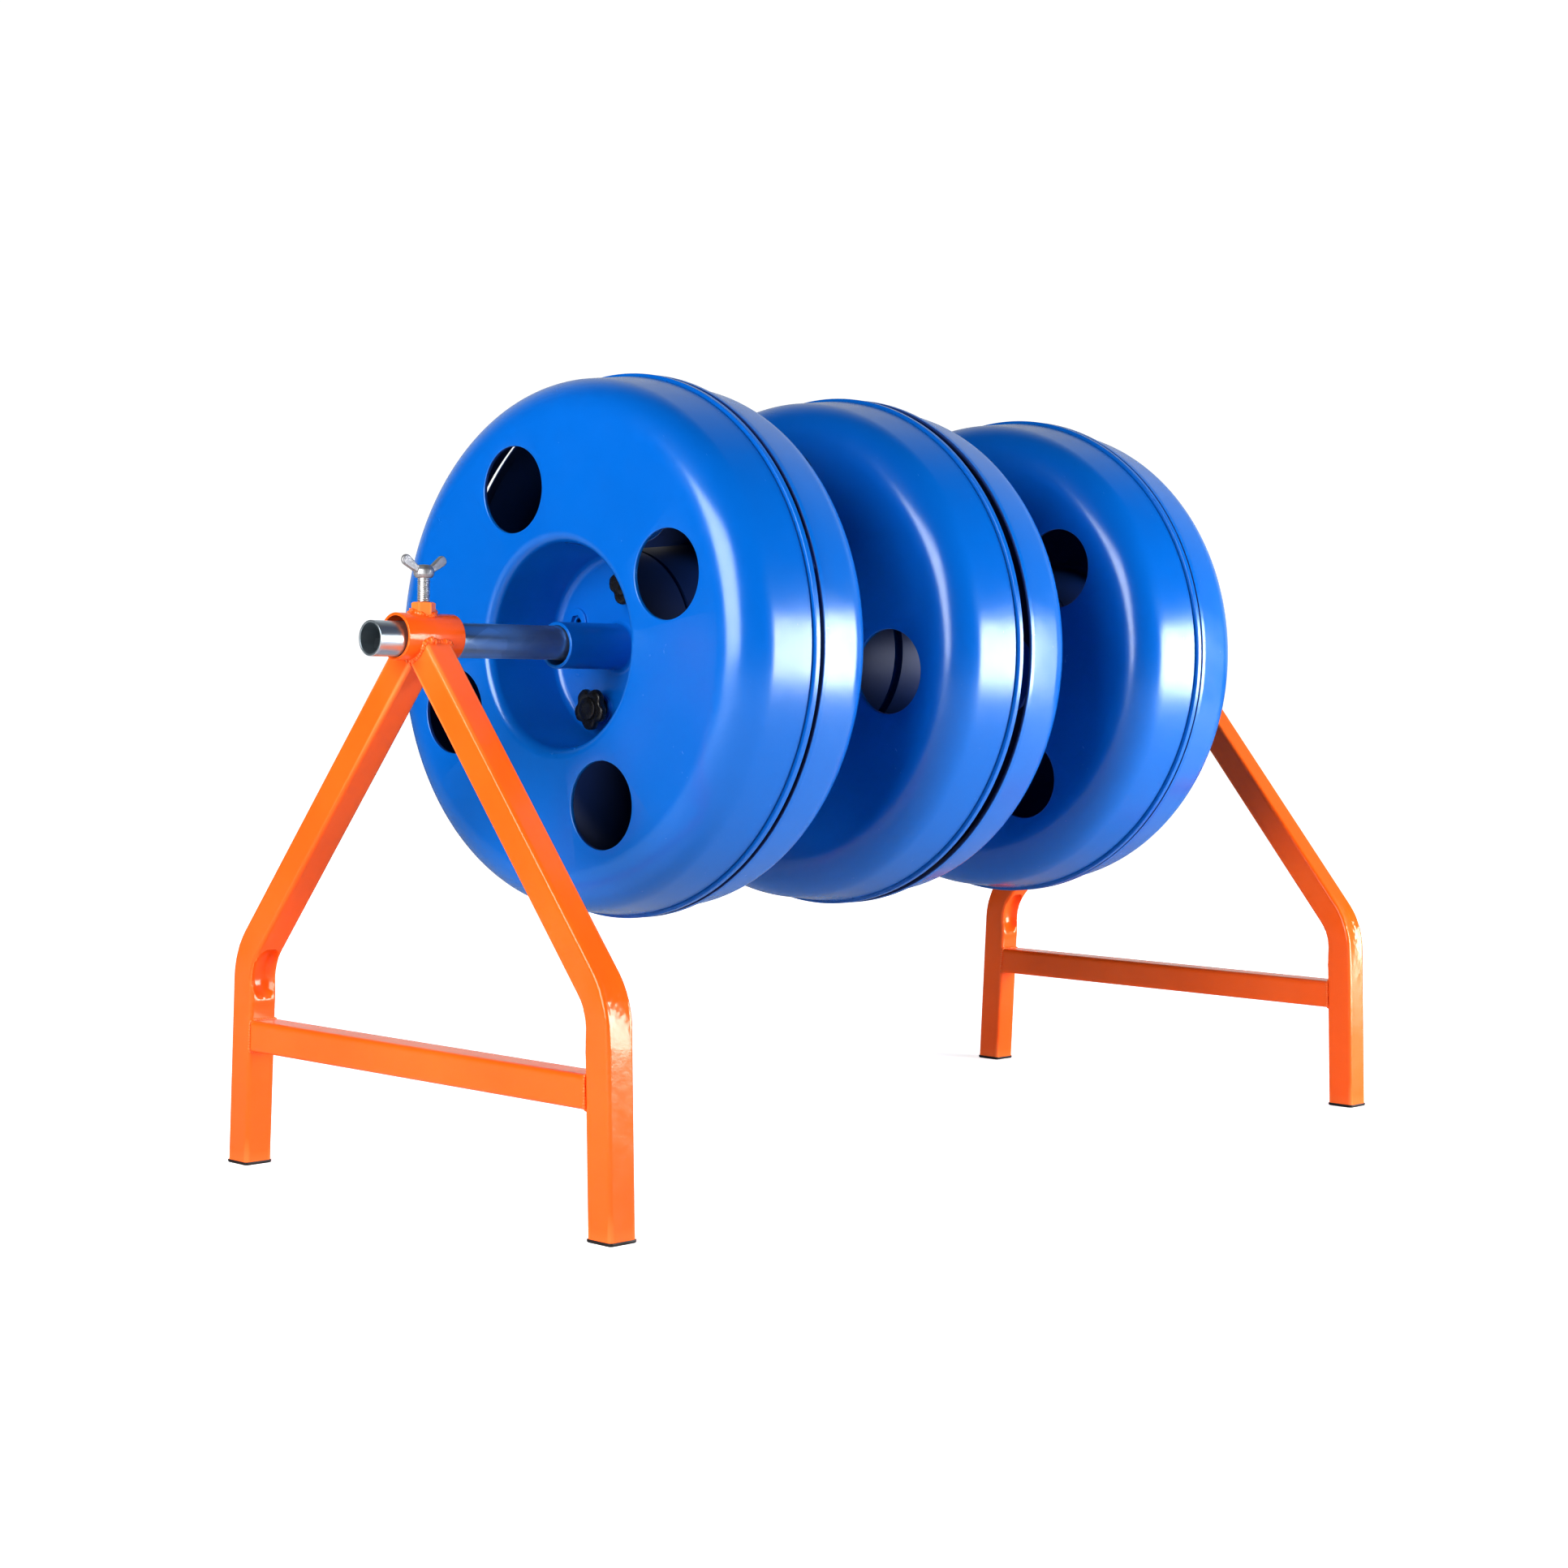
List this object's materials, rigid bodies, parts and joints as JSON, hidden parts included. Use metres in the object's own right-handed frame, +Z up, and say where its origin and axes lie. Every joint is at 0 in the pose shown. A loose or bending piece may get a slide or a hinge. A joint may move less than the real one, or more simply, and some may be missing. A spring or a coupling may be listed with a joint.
{
  "type": "cable drum stand",
  "caption": "Free-standing cable unwinder: plastic two-part coil drums turn on a galvanised pipe axle clamped by wing screws in welded A-frame stands.",
  "frame": {"origin": "on the floor, midway between the two stands and between their feet", "axes": "+X along the axle from the left stand to the right one, +Z up, -Y towards the front feet"},
  "size_m": [1.26, 0.5476, 0.766],
  "materials": {
    "orange_powder_coat": "semi-gloss powder coat",
    "galvanised_steel": "bright galvanised",
    "zinc_plated_steel": "zinc plated",
    "cast_zinc": "cast, zinc plated",
    "blue_plastic": "smooth moulded",
    "black_plastic": "satin moulded"
  },
  "bodies": {
    "axle": {"axle_pipe": "galvanised_steel"},
    "left_stand": {"left_collar": "orange_powder_coat", "left_front_leg": "orange_powder_coat", "left_rear_leg": "orange_powder_coat", "left_crossbar": "orange_powder_coat", "left_clamp_nut": "orange_powder_coat", "left_front_foot_cap": "black_plastic", "left_rear_foot_cap": "black_plastic"},
    "left_screw": {"left_wing_screw_stud": "zinc_plated_steel"},
    "left_wing": {"left_wing_head": "cast_zinc"},
    "right_stand": {"right_collar": "orange_powder_coat", "right_front_leg": "orange_powder_coat", "right_rear_leg": "orange_powder_coat", "right_crossbar": "orange_powder_coat", "right_clamp_nut": "orange_powder_coat", "right_front_foot_cap": "black_plastic", "right_rear_foot_cap": "black_plastic"},
    "right_screw": {"right_wing_screw_stud": "zinc_plated_steel"},
    "right_wing": {"right_wing_head": "cast_zinc"},
    "drum_1": {"drum_1_left_shell": "blue_plastic"},
    "drum_1_right": {"drum_1_right_shell": "blue_plastic", "drum_1_upper_bolt": "zinc_plated_steel", "drum_1_lower_bolt": "zinc_plated_steel"},
    "drum_1_upper_knob": {"drum_1_upper_knob": "black_plastic"},
    "drum_1_lower_knob": {"drum_1_lower_knob": "black_plastic"},
    "drum_2": {"drum_2_left_shell": "blue_plastic"},
    "drum_2_right": {"drum_2_right_shell": "blue_plastic", "drum_2_upper_bolt": "zinc_plated_steel", "drum_2_lower_bolt": "zinc_plated_steel"},
    "drum_2_upper_knob": {"drum_2_upper_knob": "black_plastic"},
    "drum_2_lower_knob": {"drum_2_lower_knob": "black_plastic"},
    "drum_3": {"drum_3_left_shell": "blue_plastic"},
    "drum_3_right": {"drum_3_right_shell": "blue_plastic", "drum_3_upper_bolt": "zinc_plated_steel", "drum_3_lower_bolt": "zinc_plated_steel"},
    "drum_3_upper_knob": {"drum_3_upper_knob": "black_plastic"},
    "drum_3_lower_knob": {"drum_3_lower_knob": "black_plastic"}
  },
  "joints": [
    {"name": "left_stand_slide", "type": "slide", "parent": "axle", "child": "left_stand", "axis": [1, 0, 0], "range_m": [-0.025, 0.12]},
    {"name": "left_screw_travel", "type": "slide", "parent": "left_stand", "child": "left_screw", "axis": [0, 0, 1], "range_m": [0, 0.014]},
    {"name": "left_screw_turn", "type": "hinge", "parent": "left_screw", "child": "left_wing", "pos_m": [-0.57, 0, 0.575], "axis": [0, 0, 1], "range_deg": [0, 2880.5]},
    {"name": "right_stand_slide", "type": "slide", "parent": "axle", "child": "right_stand", "axis": [1, 0, 0], "range_m": [-0.18, 0.025]},
    {"name": "right_screw_travel", "type": "slide", "parent": "right_stand", "child": "right_screw", "axis": [0, 0, 1], "range_m": [0, 0.014]},
    {"name": "right_screw_turn", "type": "hinge", "parent": "right_screw", "child": "right_wing", "pos_m": [0.57, 0, 0.575], "axis": [0, 0, 1], "range_deg": [0, 2880.5]},
    {"name": "drum_1_spin", "type": "hinge", "parent": "axle", "child": "drum_1", "pos_m": [-0.323, 0, 0.5048], "axis": [1, 0, 0], "continuous": true},
    {"name": "drum_1_spread", "type": "slide", "parent": "drum_1", "child": "drum_1_right", "axis": [1, 0, 0], "range_m": [-0.0045, 0.008]},
    {"name": "drum_1_upper_knob_turn", "type": "hinge", "parent": "drum_1", "child": "drum_1_upper_knob", "pos_m": [-0.3319, -0.02354, 0.56485], "axis": [-1, 0, 0], "range_deg": [-1296.5, 2304.5]},
    {"name": "drum_1_lower_knob_turn", "type": "hinge", "parent": "drum_1", "child": "drum_1_lower_knob", "pos_m": [-0.3319, 0.02354, 0.44475], "axis": [-1, 0, 0], "range_deg": [-1296.5, 2304.5]},
    {"name": "drum_2_spin", "type": "hinge", "parent": "axle", "child": "drum_2", "pos_m": [-0.029, 0, 0.5048], "axis": [1, 0, 0], "continuous": true},
    {"name": "drum_2_spread", "type": "slide", "parent": "drum_2", "child": "drum_2_right", "axis": [1, 0, 0], "range_m": [-0.0115, 0.001]},
    {"name": "drum_2_upper_knob_turn", "type": "hinge", "parent": "drum_2", "child": "drum_2_upper_knob", "pos_m": [-0.0414, -0.05083, 0.54451], "axis": [-1, 0, 0], "range_deg": [-3312.5, 288.5]},
    {"name": "drum_2_lower_knob_turn", "type": "hinge", "parent": "drum_2", "child": "drum_2_lower_knob", "pos_m": [-0.0414, 0.05083, 0.46509], "axis": [-1, 0, 0], "range_deg": [-3312.5, 288.5]},
    {"name": "drum_3_spin", "type": "hinge", "parent": "axle", "child": "drum_3", "pos_m": [0.264, 0, 0.5048], "axis": [1, 0, 0], "continuous": true},
    {"name": "drum_3_spread", "type": "slide", "parent": "drum_3", "child": "drum_3_right", "axis": [1, 0, 0], "range_m": [-0.00112, 0.01137]},
    {"name": "drum_3_upper_knob_turn", "type": "hinge", "parent": "drum_3", "child": "drum_3_upper_knob", "pos_m": [0.2568, -0.0112, 0.56832], "axis": [-1, 0, 0], "range_deg": [-324.5, 3276.5]},
    {"name": "drum_3_lower_knob_turn", "type": "hinge", "parent": "drum_3", "child": "drum_3_lower_knob", "pos_m": [0.2568, 0.0112, 0.44128], "axis": [-1, 0, 0], "range_deg": [-324.5, 3276.5]}
  ],
  "couplings": [
    {"joint": "left_screw_turn", "follows": "left_screw_travel", "rad_per_m": 3590.4},
    {"joint": "right_screw_turn", "follows": "right_screw_travel", "rad_per_m": 3590.4},
    {"joint": "drum_1_upper_knob_turn", "follows": "drum_1_spread", "rad_per_m": 5026.5},
    {"joint": "drum_1_lower_knob_turn", "follows": "drum_1_spread", "rad_per_m": 5026.5},
    {"joint": "drum_2_upper_knob_turn", "follows": "drum_2_spread", "rad_per_m": 5026.5},
    {"joint": "drum_2_lower_knob_turn", "follows": "drum_2_spread", "rad_per_m": 5026.5},
    {"joint": "drum_3_upper_knob_turn", "follows": "drum_3_spread", "rad_per_m": 5026.5},
    {"joint": "drum_3_lower_knob_turn", "follows": "drum_3_spread", "rad_per_m": 5026.5}
  ]
}
